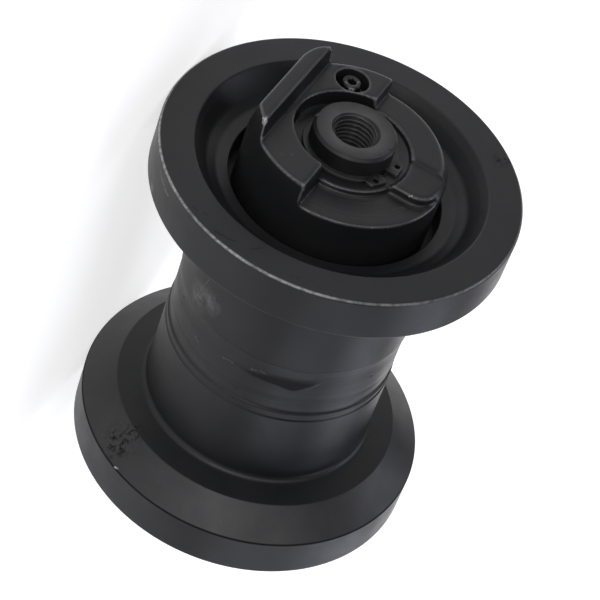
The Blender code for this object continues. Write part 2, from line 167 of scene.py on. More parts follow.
def filleted(profile, closed=True, arc_step=12.0):
    """A profile of (radius, height, fillet) corners as plain points, with each corner rounded."""
    count = len(profile)
    result = []
    for i, corner in enumerate(profile):
        here = Vector(corner[:2])
        fillet = corner[2] if len(corner) > 2 else 0.0
        if fillet <= 0 or (not closed and i in (0, count - 1)):
            result.append(tuple(here))
            continue
        before = Vector(profile[i - 1][:2]) - here
        after = Vector(profile[(i + 1) % count][:2]) - here
        half = before.angle(after) / 2
        reach = min(fillet / math.tan(half), 0.48 * before.length, 0.48 * after.length)
        radius = reach * math.tan(half)
        centre = here + (before.normalized() + after.normalized()).normalized() * radius / math.sin(half)
        start = here + before.normalized() * reach - centre
        stop = here + after.normalized() * reach - centre
        sweep = start.angle_signed(stop)
        steps = max(2, math.ceil(abs(math.degrees(sweep)) / arc_step))
        for k in range(steps + 1):
            turn = Matrix.Rotation(-sweep * k / steps, 2)
            result.append(tuple(centre + turn @ start))
    return result


def grid(name, radii, heights, steps, end="front", closed=True):
    """A surface of revolution from rows of radii and heights, each a number or one value per facet."""
    rows = len(radii)
    angles = np.arange(steps) * 2 * math.pi / steps
    r = np.array([np.broadcast_to(value, steps) for value in radii], float)
    h = np.array([np.broadcast_to(value, steps) for value in heights], float)
    points = np.stack((r * np.cos(angles), r * np.sin(angles), h), axis=-1).reshape(-1, 3)
    faces = []
    for i in range(rows if closed else rows - 1):
        a, b = i * steps, (i + 1) % rows * steps
        for j in range(steps):
            k = (j + 1) % steps
            faces.append((a + j, b + j, b + k, a + k))
    return add_mesh(name, points, faces, end)


def turned(name, profile, end="front", steps=ROUND_STEPS, place=(0.0, 0.0)):
    """A closed ring from a profile of (radius, height, fillet), running down its outer side."""
    points = filleted(profile)
    obj = grid(name, [p[0] for p in points], [p[1] for p in points], steps, end)
    if place != (0.0, 0.0):
        offset = end_to_world([(*place, 0.0)], end)[0]
        obj.data.transform(Matrix.Translation(offset))
    return obj


# ---------------------------------------------------------------- dressed zone round the weld

def waves(theta, a, seed, count, reach, wavelength):
    """Smooth noise that repeats round the roller: waves with seeded directions and phases, about -1 to 1."""
    random = np.random.default_rng(seed)
    total = np.zeros(np.broadcast(theta, a).shape)
    for _ in range(count):
        turns = random.integers(-reach, reach + 1)
        along = 2 * math.pi / (wavelength * random.uniform(0.7, 1.6))
        total += np.cos(turns * theta + along * a + random.uniform(0, 2 * math.pi))
    return total / math.sqrt(count)


# Each pair is (distance towards -Y, radius), from the raised ring at the rear to the lip at the front
ZONE_KEYS = (
    (-ZONE_END, 79.5), (-24.4, 79.40), (-23.6, 78.80), (-22.8, 78.82), (-18.6, 79.34), (-17.8, 79.24),
    (-16.4, 78.16), (-15.0, 78.12), (-11.5, 78.34), (-8.5, 78.46), (-5.5, 78.36), (0.0, 78.40), (5.0, 78.44),
    (9.0, 78.44), (14.0, 78.38), (19.0, 78.50), (21.5, 78.68), (23.2, 78.74), (24.0, 78.86), (24.7, 79.38),
    (ZONE_END, 79.5))


def zone_profile(a):
    """Radius of the dressed zone at a distance a towards -Y, with its corners softened."""
    places, radii = zip(*ZONE_KEYS)
    blur = np.linspace(-0.5, 0.5, 11)
    weights = np.exp(-(blur / 0.25) ** 2)
    samples = [weight * np.interp(a + shift, places, radii) for shift, weight in zip(blur, weights)]
    return sum(samples) / weights.sum()


# Lapped fold beside the weld, on the roller's front half: lower and upper edge by angle (degrees)
PATCH_ANGLES = (-8.0, 1.0, 10.5, 19.5, 27.9, 32.8, 38.2, 42.0)
PATCH_LOWER = (9.0, 6.6, 7.1, 7.0, 4.5, 6.8, 11.1, 15.4)
PATCH_UPPER = (9.4, 11.5, 13.4, 14.4, 15.0, 15.3, 15.5, 15.5)
WELD_RADIUS = 78.5
UNEVEN_HALF = 15.4                # half length of the uneven part of the zone
SPATTER = ((-26.7, 4.0), (-25.0, 3.2), (-8.4, 8.1), (-6.6, 8.7), (-5.2, 9.4), (-3.6, 9.0), (6.6, 12.4),
           (8.3, 13.3), (10.8, 14.6), (12.4, 14.0), (150.0, 3.0), (171.0, -6.0), (-120.0, 7.0), (95.0, -2.0))
PITS = ((-45.6, 15.4), (2.9, -9.7), (4.4, -19.5), (132.0, -11.0), (-95.0, -8.0), (70.0, 9.5), (-160.0, 12.0))


def zone_offset(theta, a):
    """How far the dressed zone stands off its turned profile.

    theta is in radians from +X up, and a is the distance towards -Y.
    """
    inside = np.clip((UNEVEN_HALF - a) / 3.0, 0, 1) * np.clip((UNEVEN_HALF + a) / 3.0, 0, 1)
    degrees = (np.degrees(theta) + 180) % 360 - 180
    offset = inside * (0.060 * waves(theta, a, 3, 9, 3, 18.0) + 0.006 * waves(theta, a, 5, 12, 7, 7.0))
    front = np.clip((a - 12) / 4, 0, 1) * np.clip((24 - a) / 3, 0, 1)
    offset = offset + 0.03 * front * waves(theta, a, 17, 6, 2, 20.0)
    line = -6.0 + 1.6 * waves(theta, 0.0, 11, 4, 4, 10.0)
    offset = offset + 0.08 * inside * np.tanh((line - a) / 1.2) * np.exp(-((a - line) / 3.5) ** 2)
    lower = np.interp(degrees, PATCH_ANGLES, PATCH_LOWER)
    upper = np.interp(degrees, PATCH_ANGLES, PATCH_UPPER)
    width = np.maximum(upper - lower, 0.5)
    lift = np.clip((upper + 0.8 - a) / (width + 0.8), 0, 1) * np.clip((a - lower + 0.35) / 0.7, 0, 1)
    ends = np.clip((degrees + 10) / 12, 0, 1) * np.clip((42 - degrees) / 5, 0, 1)
    offset = offset + 0.95 * np.minimum(width / 7, 1.2) * lift * ends
    for angle, place in SPATTER:
        far = ((np.radians(degrees - angle) * WELD_RADIUS) / 1.3) ** 2 + ((a - place) / 0.8) ** 2
        offset = offset + 0.40 * np.exp(-far)
    for angle, place in PITS:
        far = ((np.radians(degrees - angle) * WELD_RADIUS) ** 2 + (a - place) ** 2) / 0.9 ** 2
        offset = offset - 0.55 * np.exp(-far)
    return offset


def zone_rows(heights, end, steps):
    """Radii of the dressed zone for heights in an end frame, one row of facets each."""
    angles = np.arange(steps) * 2 * math.pi / steps
    theta = math.pi - angles if end == "rear" else angles
    sign = -1 if end == "rear" else 1
    return [zone_profile(sign * h) + zone_offset(theta, sign * h) for h in heights]


# ---------------------------------------------------------------- roller body

def shell_half(end):
    outside = filleted([
        (HOLE_RADIUS, HOLE_FLOOR), (HOLE_RADIUS, HOLE_MOUTH, 1.0), (79.0, 117.4, 7.0), (86.5, 121.5, 9.0),
        (92.5, 129.5, 9.0), (97.0, FLANGE_FACE, 2.2), (FLANGE_RADIUS, FLANGE_FACE, 2.2),
        (FLANGE_RADIUS, RIM_INNER_EDGE, 1.8), (*CHAMFER_FOOT, 1.2), (TREAD_RADIUS, TREAD_ROOT, 4.6),
        (TREAD_RADIUS, ZONE_END)], closed=False, arc_step=9.0)
    zone = np.arange(ZONE_END - 0.25, SEAM, -ZONE_ROW)
    inside = filleted([
        (77.6, SEAM - 0.4), (70.5, 2.0), (70.5, GAP / 2), (50.0, GAP / 2), (50.0, 28.3), (36.3, 28.3, 0.5),
        (36.3, 84.5), (52.4, 84.5, 1.0), (52.4, HOLE_FLOOR, 0.6)], closed=False)
    heights = [p[1] for p in outside] + list(zone) + [p[1] for p in inside]
    radii = [p[0] for p in outside] + zone_rows(zone, end, FINE_STEPS) + [p[0] for p in inside]
    obj = grid("fine_shell_half_" + end, radii, heights, FINE_STEPS, end)
    return finish_piece(smooth(obj), "shell_half_" + end, "roller", shell_paint)


def weld_bead():
    heights = np.arange(SEAM + 0.15, -SEAM - 0.16, -ZONE_ROW)
    radii = zone_rows(heights, "front", FINE_STEPS)
    radii[0], radii[-1] = radii[0] - 0.05, radii[-1] - 0.05
    root = [(70.8, -1.85), (70.8, 1.85)]
    heights = list(heights) + [p[1] for p in root]
    obj = grid("fine_weld_bead", radii + [p[0] for p in root], heights, FINE_STEPS)
    return finish_piece(smooth(obj), "weld_bead", "roller", weld_paint)


def bush(end):
    profile = [(30.3, 84.0, 0.6), (36.0, 84.0, 0.6), (36.0, 28.0, 0.4), (43.0, 28.0, 0.5), (43.0, 24.0, 0.5),
               (30.3, 24.0, 0.8)]
    obj = turned("fine_bush_" + end, profile, end)
    return finish_piece(smooth(obj), "bush_" + end, "roller", bush_bronze)


def seal_ring(kind, end):
    side = 1 if kind == "fixed" else -1
    plane = SEAL_PLANE + side * GAP / 2
    profile = [(38.0, 0.0, 0.3), (49.5, 0.0, 0.4), (49.5, 4.0, 0.5), (43.2, 4.0, 1.2), (41.8, 12.25, 0.6),
               (38.0, 12.25, 0.6)]
    placed = [(r, plane + side * depth, fillet) for r, depth, fillet in profile]
    if side > 0:
        placed.reverse()
    obj = turned(f"fine_{kind}_seal_ring_{end}", placed, end)
    body = "axle" if kind == "fixed" else "roller"
    return finish_piece(smooth(obj), f"{kind}_seal_ring_{end}", body, seal_iron)


def rubber_ring(name, end, body, radius, section, height):
    angles = np.radians(np.arange(0, 360, 15))
    radii, heights = radius + section * np.cos(angles), height - section * np.sin(angles)
    obj = grid(f"fine_{name}_{end}", radii, heights, ROUND_STEPS, end)
    return finish_piece(smooth(obj, weighted=False), f"{name}_{end}", body, seal_rubber)


# ---------------------------------------------------------------- shaft, circlip and plug

def thread_rows(sign):
    """Rows of a right-hand internal thread, from its chamfered mouth to its end, on the +1 or -1 side."""
    angles = np.arange(ROUND_STEPS) * 2 * math.pi / ROUND_STEPS
    heights = sign * np.arange(SHAFT_END, THREAD_STOP, -THREAD_PITCH / 12)
    radii = []
    for h in heights:
        phase = (h / THREAD_PITCH - angles / (2 * math.pi)) % 1.0
        groove = np.clip(THREAD_MINOR - 0.5 + 3.03 * np.abs(2 * phase - 1), THREAD_MINOR, THREAD_MAJOR)
        runout = np.clip((abs(h) - THREAD_STOP) / 4, 0, 1)
        groove = THREAD_MINOR + (groove - THREAD_MINOR) * runout
        radii.append(np.maximum(groove, THREAD_MOUTH - (SHAFT_END - abs(h)) * 1.1))
    return radii, list(heights)


def shaft():
    outer = filleted([
        (THREAD_MOUTH, SHAFT_END), (25.7, SHAFT_END, 0.6), (SHAFT_RADIUS, 163.6, 0.6),
        (SHAFT_RADIUS, 152.6, 0.15), (26.0, 152.6), (26.0, POCKET_FLOOR),
        (SHAFT_RADIUS, POCKET_FLOOR, 0.15), (SHAFT_RADIUS, 90.0),
        (30.0, 90.0, 0.6), (30.0, 23.7, 0.8), (42.0, 23.7, 0.8), (42.0, 0.0)], closed=False)
    front_radii, front_heights = thread_rows(1)
    rear_radii, rear_heights = thread_rows(-1)
    floor = [(0.05, DRILL_POINT), (THREAD_MINOR, DRILL_FLOOR)]
    radii = ([p[0] for p in floor] + front_radii[::-1] + [p[0] for p in outer[1:]]
             + [p[0] for p in outer[-2:0:-1]] + rear_radii + [p[0] for p in floor[::-1]])
    heights = ([p[1] for p in floor] + front_heights[::-1] + [p[1] for p in outer[1:]]
               + [-p[1] for p in outer[-2:0:-1]] + rear_heights + [-p[1] for p in floor[::-1]])
    obj = grid("fine_shaft", radii, heights, ROUND_STEPS, closed=False)
    close_ends(obj)
    return finish_piece(smooth(obj, 40), "shaft", "axle", shaft_paint)


def close_ends(obj):
    """Fills the two small open rings left at the drill points."""
    form = bmesh.new()
    form.from_mesh(obj.data)
    bmesh.ops.holes_fill(form, edges=[edge for edge in form.edges if edge.is_boundary])
    bmesh.ops.recalc_face_normals(form, faces=form.faces)
    form.to_mesh(obj.data)
    form.free()


def arc(radius, start, stop, count, centre=(0.0, 0.0)):
    angles = np.radians(np.linspace(start, stop, count))
    return [(centre[0] + radius * math.cos(a), centre[1] + radius * math.sin(a)) for a in angles]


def circlip(end):
    gap, gap_half, lug_half = 76.0, 7.5, 28.0           # angles in degrees
    inner, outer, lug, bevel, half_thickness = 26.3, 31.2, 35.5, 0.22, 1.0
    start, stop = gap + gap_half, gap - gap_half
    outline = filleted([
        (*arc(lug, start, start, 1)[0], 1.2),
        *arc(lug, start + 3, gap + lug_half - 1, 12),
        *arc(outer, gap + lug_half + 5, gap + 360 - lug_half - 5, 140),
        *arc(lug, gap + 361 - lug_half, stop + 357, 12),
        (*arc(lug, stop, stop, 1)[0], 1.2),
        (*arc(inner, stop, stop, 1)[0], 0.4),
        *arc(inner, stop + 357, start + 3, 150),
        (*arc(inner, start, start, 1)[0], 0.4)])
    holes = [arc(1.9, 360, 15, 24, arc(32.3, gap + side * 20, gap, 2)[0]) for side in (-1, 1)]
    curve = bpy.data.curves.new("fine_circlip_" + end, 'CURVE')
    curve.dimensions = '2D'
    curve.fill_mode = 'BOTH'
    curve.extrude = (half_thickness - bevel) * MM
    curve.bevel_depth = bevel * MM
    curve.bevel_resolution = 2
    curve.offset = -bevel * MM
    for ring in (outline, *holes):
        spline = curve.splines.new('POLY')
        spline.points.add(len(ring) - 1)
        for point, (x, y) in zip(spline.points, ring):
            point.co = (x * MM, y * MM, 0, 1)
        spline.use_cyclic_u = True
    holder = add_object("clip_outline", curve)
    mesh = evaluated_mesh(holder)
    bpy.data.objects.remove(holder)
    middle = (POCKET_FLOOR + GAP + half_thickness) * MM
    mesh.transform(end_matrix(end) @ Matrix.Translation((0, 0, middle)))
    obj = add_object("fine_circlip_" + end, mesh)
    weld_mesh(mesh)
    return finish_piece(smooth(obj, 35, False), "circlip_" + end, "axle", spring_steel)


def weld_mesh(mesh):
    """Joins points that lie together and turns every face outwards."""
    form = bmesh.new()
    form.from_mesh(mesh)
    bmesh.ops.remove_doubles(form, verts=form.verts, dist=0.000002)
    bmesh.ops.recalc_face_normals(form, faces=form.faces)
    form.to_mesh(mesh)
    form.free()


def washer(end):
    low = PLUG_WELL_FLOOR + GAP
    top = low + PLUG_WASHER
    profile = [(4.2, top, 0.2), (7.5, top, 0.35), (7.5, low, 0.35), (4.2, low, 0.2)]
    obj = turned("fine_plug_washer_" + end, profile, end, 64, PLUG_PLACE)
    return finish_piece(smooth(obj), "plug_washer_" + end, "axle", washer_metal)


def between(name, first, last):
    """A closed solid between two rings of as many points (x, y, height), in the end frame."""
    count = len(first)
    faces = [tuple(range(count))[::-1], tuple(range(count, 2 * count))]
    faces += [(i, (i + 1) % count, count + (i + 1) % count, count + i) for i in range(count)]
    obj = in_end_frame(add_mesh(name, [*first, *last], faces))
    weld_mesh(obj.data)
    return obj


def loft(name, low_outline, low, high_outline, high):
    """A solid between two outlines (x, y), at heights low and high."""
    return between(name, [(x, y, low) for x, y in low_outline], [(x, y, high) for x, y in high_outline])


def prism(name, outline, low, high):
    return loft(name, outline, low, outline, high)


def cut_all(blank, cutters, extra=()):
    """The blank less every cutter, as a mesh in the end frame; the helpers are removed."""
    for cutter in cutters:
        boolean = blank.modifiers.new(cutter.name, 'BOOLEAN')
        boolean.operation = 'DIFFERENCE'
        boolean.solver = 'EXACT'
        boolean.object = cutter
    for kind, settings in extra:
        modifier = blank.modifiers.new(kind.lower(), kind)
        for key, value in settings.items():
            setattr(modifier, key, value)
    mesh = evaluated_mesh(blank)
    for helper in (blank, *cutters):
        bpy.data.objects.remove(helper)
    return mesh


def oil_plug_mesh():
    x, y = PLUG_PLACE
    seat = PLUG_WELL_FLOOR + 2 * GAP + PLUG_WASHER
    top = seat + 8.0
    across_flats = 6.0
    profile = filleted([(0.02, top - 0.5), (5.0, top, 0.4), (5.75, top, 0.3), (6.5, top - 0.8, 0.5),
                        (6.5, seat, 0.5), (3.9, seat, 0.3), (3.9, seat - 14.0, 0.8), (0.02, seat - 14.0)],
                       closed=False)
    radii, heights = [p[0] for p in profile], [p[1] for p in profile]
    blank = grid("plug_blank", radii, heights, 96, closed=False)
    close_ends(blank)
    in_end_frame(blank).data.transform(Matrix.Translation((x * MM, y * MM, 0)))
    corner = across_flats / math.sqrt(3)
    hexagon = [(x + corner * math.cos(a), y + corner * math.sin(a))
               for a in np.radians(np.arange(12, 372, 60))]
    socket = prism("socket", hexagon, top - 4.5, top + 1)
    bevel = ('BEVEL', {"width": 0.12 * MM, "segments": 2, "limit_method": 'ANGLE',
                       "angle_limit": math.radians(35)})
    return cut_all(blank, [socket], [bevel])


# ---------------------------------------------------------------- collar

CLEAR = 70.0                    # a distance from the axis that is outside the collar


def cross_cutter(name, section):
    """A cutter across the whole collar along x, with a section of (y, height)."""
    return between(name, [(-CLEAR, y, h) for y, h in section], [(CLEAR, y, h) for y, h in section])


def on_line(low, high, height):
    """The point at a height on the line through two points (y, height)."""
    share = (height - low[1]) / (high[1] - low[1])
    return (low[0] + share * (high[0] - low[0]), height)


def rod(name, radius, start, stop, steps=64):
    """A closed cylinder between two points of the end frame."""
    start, stop = Vector(start) * MM, Vector(stop) * MM
    mesh = bpy.data.meshes.new(name)
    form = bmesh.new()
    bmesh.ops.create_cone(form, cap_ends=True, segments=steps, radius1=radius * MM,
                          radius2=radius * MM, depth=(stop - start).length)
    turn = (stop - start).to_track_quat('Z', 'Y').to_matrix().to_4x4()
    form.transform(Matrix.Translation((start + stop) / 2) @ turn)
    form.to_mesh(mesh)
    form.free()
    return add_object(name, mesh)


def collar_cutters():
    """The cutters that shape the collar's end face, and the helper that trims one of them."""
    top = RIDGE_CREST + 3.0
    face_low, face_high = (-42.8, SEAT), (-44.6, RIDGE_CREST)
    seat = cross_cutter("seat", [face_low, (CLEAR, SEAT), (CLEAR, top), on_line(face_low, face_high, top)])
    foot, crest, flank_low = (-65.5, 134.5), (-54.8, RIDGE_CREST), 131.5
    flank = cross_cutter("flank", [on_line(foot, crest, top), (-CLEAR, top), (-CLEAR, flank_low),
                                   on_line(foot, crest, flank_low)])
    wall_low, wall_high = (SEAT_EDGE + 2.5, LAND), (SEAT_EDGE, SEAT)
    land = cross_cutter("land", [wall_low, (CLEAR, LAND), (CLEAR, SEAT + 3),
                                 on_line(wall_low, wall_high, SEAT + 3)])
    tongue_half, corner, step_inner = 14.5, 13.0, 39.0
    low_side = SEAT_EDGE + 1.25
    outline = [(CLEAR, low_side), *arc(CLEAR, 12, 90, 14),
               *arc(corner, 90, 0, 16, (tongue_half - corner, 63.3 - corner)),
               *arc(step_inner, math.degrees(math.acos(tongue_half / step_inner)),
                    math.degrees(math.asin(low_side / step_inner)), 40)]
    step = prism("step", outline, STEP, SEAT)
    inner = math.sqrt(POCKET_RADIUS ** 2 - tongue_half ** 2) - 1
    tongue = prism("tongue", [(-tongue_half, inner), (tongue_half, inner), (tongue_half, CLEAR),
                              (-tongue_half, CLEAR)], TONGUE_TOP, SEAT)
    rim_top = 60.0                  # radius at which the land's bevelled rim starts
    over = 3.0                      # how far the rim's cutter runs past the bevel at both ends
    slope = (COLLAR_RADIUS - rim_top) / (RIM - LAND)
    rim_profile = [(rim_top + slope * over, LAND + over), (COLLAR_RADIUS - slope * over + 4, LAND + over),
                   (COLLAR_RADIUS - slope * over + 4, RIM - over), (COLLAR_RADIUS - slope * over, RIM - over)]
    rim = in_end_frame(grid("rim", [p[0] for p in rim_profile], [p[1] for p in rim_profile], BLANK_STEPS))
    keep_low = prism("keep", [(-80, -80), (80, -80), (80, SEAT_EDGE + 1), (-80, SEAT_EDGE + 1)], 120, 190)
    trim = rim.modifiers.new("half", 'BOOLEAN')
    trim.object, trim.operation = keep_low, 'DIFFERENCE'
    corner_low = [(-26.0, -60.2), (-33.0, -59.4), (-39.0, -57.6), (-43.5, -55.4), (-50.0, -50.5),
                  (-56.0, -60.0), (-40.0, -70.0), (-26.0, -70.0)]
    corner_high = [(-26.0, -54.6), (-32.0, -53.4), (-37.0, -51.8), (-41.2, -49.2), (-46.6, -43.6),
                   (-56.0, -50.0), (-40.0, -70.0), (-26.0, -70.0)]
    ridge_corner = loft("ridge_corner", corner_low, 152.0, corner_high, RIDGE_CREST + 2.0)
    well = rod("well", 11.0, (*PLUG_PLACE, PLUG_WELL_FLOOR), (*PLUG_PLACE, top), 96)
    hole = rod("hole", 4.2, (*PLUG_PLACE, 136.0), (*PLUG_PLACE, PLUG_WELL_FLOOR + 1))
    return [seat, flank, land, step, tongue, rim, well, hole, ridge_corner], keep_low


def collar_mesh():
    """The forged collar: the cut blank, remeshed finely and smoothed, so that every edge is rounded."""
    profile = [(27.8, POCKET_FLOOR), (POCKET_RADIUS, POCKET_FLOOR), (POCKET_RADIUS, RIDGE_CREST),
               (COLLAR_RADIUS, RIDGE_CREST), (COLLAR_RADIUS, COLLAR_BASE), (52.4, COLLAR_BASE), (52.4, 113.0),
               (34.0, 113.0), (34.0, 90.3), (27.8, 90.3), (27.8, 125.7), (30.8, 125.7), (30.8, 130.3),
               (27.8, 130.3)]
    blank = in_end_frame(grid("collar_blank", [p[0] for p in profile], [p[1] for p in profile], BLANK_STEPS))
    cutters, trimmer = collar_cutters()
    mesh = cut_all(blank, cutters, [('REMESH', {"mode": 'VOXEL', "voxel_size": COLLAR_VOXEL * MM})])
    bpy.data.objects.remove(trimmer)
    return soften(mesh, COLLAR_ROUNDS)


def soften(mesh, rounds, pull=0.55, near_side=0.16):
    """Averages each point with its neighbours a few times, then puts the round sides back on their radius.

    pull is the neighbours' share in each round, and near_side is how near to a side, in millimetres, counts.
    """
    count = len(mesh.vertices)
    points = np.zeros(count * 3)
    mesh.vertices.foreach_get("co", points)
    points = points.reshape(-1, 3)
    edges = np.zeros(len(mesh.edges) * 2, np.int64)
    mesh.edges.foreach_get("vertices", edges)
    a, b = edges.reshape(-1, 2).T
    degree = np.bincount(a, minlength=count) + np.bincount(b, minlength=count)
    for _ in range(rounds):
        total = np.stack([np.bincount(a, points[b, k], count) + np.bincount(b, points[a, k], count)
                          for k in range(3)], axis=1)
        points = (1 - pull) * points + pull * total / degree[:, None]
    radius = np.hypot(points[:, 0], points[:, 1])
    for wanted in (COLLAR_RADIUS * MM, POCKET_RADIUS * MM):
        near = np.abs(radius - wanted) < near_side * MM
        points[near, :2] *= (wanted / radius[near])[:, None]
    mesh.vertices.foreach_set("co", points.ravel())
    mesh.update()
    return mesh


def place_copy(mesh, name, end):
    """An object with a copy of a mesh of the end frame, placed at one end."""
    copy = mesh.copy()
    copy.transform(end_matrix(end))
    return add_object(name, copy)


# ---------------------------------------------------------------- materials

PAINT_SPECULAR = 0.27
WEAR_AND_HIGHLIGHT_LEVEL, SCUFF_AND_SHEEN_LEVEL, BARE_AND_HIGHLIGHT_LEVEL = 0.16, 0.11, 0.40      # greys of edges lightened by wear and painted highlight, of scuff marks and dust with painted sheen and glints, and of exposed metal and painted highlights
# share of painted shade that darkens the hollow of the lapped fold beside the weld
FOLD_SHADE = 0.8
EDGE_FLAT, EDGE_SHARP = 0.515, 0.56     # pointiness of a flat face and of a corner lightened fully, by wear and as a painted highlight
CORNER_SUM = 253.7              # radius and height at the middle of a flange's rounded outer corner
NICK_START, NICK_STOP = (108.9, 104.2, -49.2), (109.9, 104.4, -41.0)
COLLAR_CHIPS = (((46.5, -175.5, -46.0), 5.0), ((18.9, -153.5, 46.1), 2.4), ((13.5, -152.0, 50.5), 1.6))
# Each side of the fold is +1 above or -1 below a line, the line's place and slope over the angle, softness
FOLD_SIDES = (
    (1, 8.6, -0.147, 0.9), (1, -19.0, 0.838, 1.2), (-1, 10.3, 0.26, 2.5), (-1, 15.2, 0.0, 3.0))
SEEN_SPATTER = 10               # how many specks of spatter, from the first, have a painted glint
GLINT_RADIUS = 78.6
MIX_FIRST, MIX_SECOND, MIX_RESULT = 6, 7, 2         # the colour sockets of a Mix node


def node(tree, kind, values=None, **settings):
    """A shader node with its settings, its inputs linked where a value is a socket and set where it isn't."""
    made = tree.nodes.new("ShaderNode" + kind)
    for key, value in settings.items():
        setattr(made, key, value)
    for socket, value in (values or {}).items():
        if isinstance(value, bpy.types.NodeSocket):
            tree.links.new(value, made.inputs[socket])
        else:
            made.inputs[socket].default_value = value
    return made


def noise(tree, place, scale, detail=3.0, roughness=0.5, low=0.0, high=1.0):
    """Noise of so many waves per metre, stretched so that its middle half runs from low to high."""
    texture = node(tree, "TexNoise", {"Vector": place, "Scale": scale, "Detail": detail,
                                      "Roughness": roughness})
    return spread(tree, texture.outputs["Fac"], 0.32, 0.68, low, high)


def spread(tree, value, low, high, to_low=0.0, to_high=1.0):
    """A value between low and high as its share of the way from to_low to to_high, kept between those."""
    made = node(tree, "MapRange", {"Value": value, "From Min": low, "From Max": high, "To Min": to_low,
                                   "To Max": to_high})
    return made.outputs["Result"]


def maths(tree, operation, *values):
    made = node(tree, "Math", dict(enumerate(values)), operation=operation)
    return made.outputs["Value"]


def spot(tree, place, centre, radius):
    """1 at a point, falling to 0 at a radius, both in millimetres."""
    far = node(tree, "VectorMath", {0: place, 1: [value * MM for value in centre]}, operation='DISTANCE')
    return spread(tree, far.outputs["Value"], radius * MM, 0.0)


def scratch(tree, place, start, stop, width):
    """1 along a line between two points, falling to 0 at half a width, in millimetres."""
    start, stop = Vector(start) * MM, Vector(stop) * MM
    run = stop - start
    offset = node(tree, "VectorMath", {0: place, 1: start}, operation='SUBTRACT').outputs[0]
    share = node(tree, "VectorMath", {0: offset, 1: run / run.length_squared}, operation='DOT_PRODUCT')
    share = spread(tree, share.outputs["Value"], 0.0, 1.0)
    foot = node(tree, "VectorMath", {0: run, "Scale": share}, operation='SCALE').outputs[0]
    far = node(tree, "VectorMath", {0: offset, 1: foot}, operation='DISTANCE').outputs["Value"]
    return spread(tree, far, width * MM / 2, 0.0)


def strongest(tree, masks):
    total = masks[0]
    for mask in masks[1:]:
        total = maths(tree, 'MAXIMUM', total, mask)
    return total


def mixed(tree, share, first, second):
    made = node(tree, "Mix", {"Factor": share, MIX_FIRST: first, MIX_SECOND: second}, data_type='RGBA')
    return made.outputs[MIX_RESULT]


def new_material(name):
    made = bpy.data.materials.new(name)
    made.use_nodes = True
    tree = made.node_tree
    shader = tree.nodes["Principled BSDF"]
    place = node(tree, "TexCoord").outputs["Object"]
    return made, tree, shader, place


def grey(value, tint=(1.0, 1.0, 1.0)):
    return (value * tint[0], value * tint[1], value * tint[2], 1.0)


def turned_lines(tree, along):
    """Noise that varies along one distance only, as the marks of a turning tool do."""
    made = node(tree, "TexNoise", {"W": along, "Scale": 1.0, "Detail": 2.0}, noise_dimensions='1D')
    return made.outputs["Fac"]


def axis_distances(tree, place):
    """Distance from the axle's axis, and distance along it towards -Y, both in millimetres."""
    parts = node(tree, "SeparateXYZ", {0: place})
    off_axis = node(tree, "CombineXYZ", {0: parts.outputs[0], 2: parts.outputs[2]})
    radius = node(tree, "VectorMath", {0: off_axis.outputs[0]}, operation='LENGTH').outputs["Value"]
    return maths(tree, 'MULTIPLY', radius, 1 / MM), maths(tree, 'MULTIPLY', parts.outputs[1], -1 / MM)


def fold(tree, place):
    """Painted shade, up to FOLD_SHADE, in the hollow of the lapped fold beside the weld, which lies between
    lines over the angle.
    """
    ragged = wobbly(tree, place, 120.0, 0.8)
    parts = node(tree, "SeparateXYZ", {0: ragged})
    angle = maths(tree, 'ARCTAN2', parts.outputs[2], parts.outputs[0])
    degrees = maths(tree, 'MULTIPLY', angle, 180 / math.pi)
    a = maths(tree, 'MULTIPLY', parts.outputs[1], -1 / MM)
    share = None
    for side, at_start, slope, soft in FOLD_SIDES:
        edge = maths(tree, 'MULTIPLY_ADD', degrees, slope, at_start)
        inside = maths(tree, 'MULTIPLY', maths(tree, 'SUBTRACT', a, edge), side)
        inside = spread(tree, inside, 0.0, soft)
        share = inside if share is None else maths(tree, 'MULTIPLY', share, inside)
    return maths(tree, 'MULTIPLY', share, spread(tree, degrees, -6.0, 6.0, 0.0, FOLD_SHADE))


